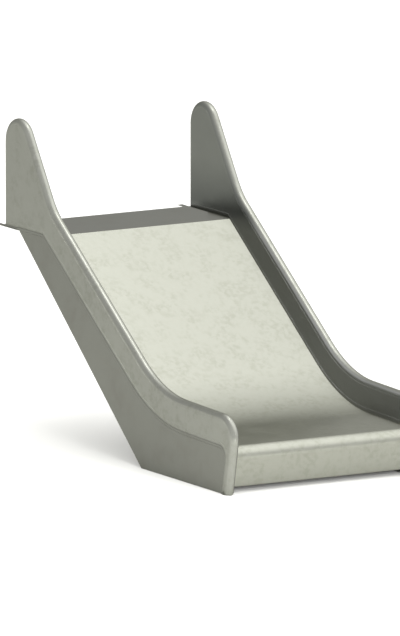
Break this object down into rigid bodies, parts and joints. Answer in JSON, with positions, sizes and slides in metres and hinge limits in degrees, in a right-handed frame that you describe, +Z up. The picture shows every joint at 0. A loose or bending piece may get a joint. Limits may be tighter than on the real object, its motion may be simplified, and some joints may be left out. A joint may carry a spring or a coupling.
{
  "type": "embankment slide",
  "caption": "Wide stainless steel embankment slide with rounded cheeks, tall entry fins, a straight bed, a curved run-out and a rolled front edge.",
  "frame": {"origin": "on the ground, midway between the cheeks, at the centre of the anchor bar's underside", "axes": "+Z up, -Y the way the rider leaves, +X across the bed"},
  "size_m": [1.076, 2.3217, 1.5218],
  "materials": {
    "blasted_steel": "bead-blasted stainless steel, softly mottled",
    "smooth_steel": "plain cold-rolled stainless steel, even satin",
    "mill_steel": "plain mill-finish stainless steel"
  },
  "bodies": {
    "root": {"slide_bed": "blasted_steel", "front_apron": "blasted_steel", "left_cheek_rim": "blasted_steel", "left_cheek_outer_sheet": "blasted_steel", "left_cheek_inner_sheet": "blasted_steel", "right_cheek_rim": "blasted_steel", "right_cheek_outer_sheet": "blasted_steel", "right_cheek_inner_sheet": "blasted_steel", "entry_plate": "smooth_steel", "left_skirt": "smooth_steel", "left_fixing_bar": "smooth_steel", "left_back_flange": "smooth_steel", "right_skirt": "smooth_steel", "right_fixing_bar": "smooth_steel", "right_back_flange": "smooth_steel", "anchor_bar": "mill_steel", "bed_rib_upper": "mill_steel", "bed_rib_middle": "mill_steel", "bed_rib_lower": "mill_steel", "platform_rib": "mill_steel", "run_out_rib": "mill_steel", "left_base_flange": "mill_steel", "right_base_flange": "mill_steel"}
  },
  "joints": []
}
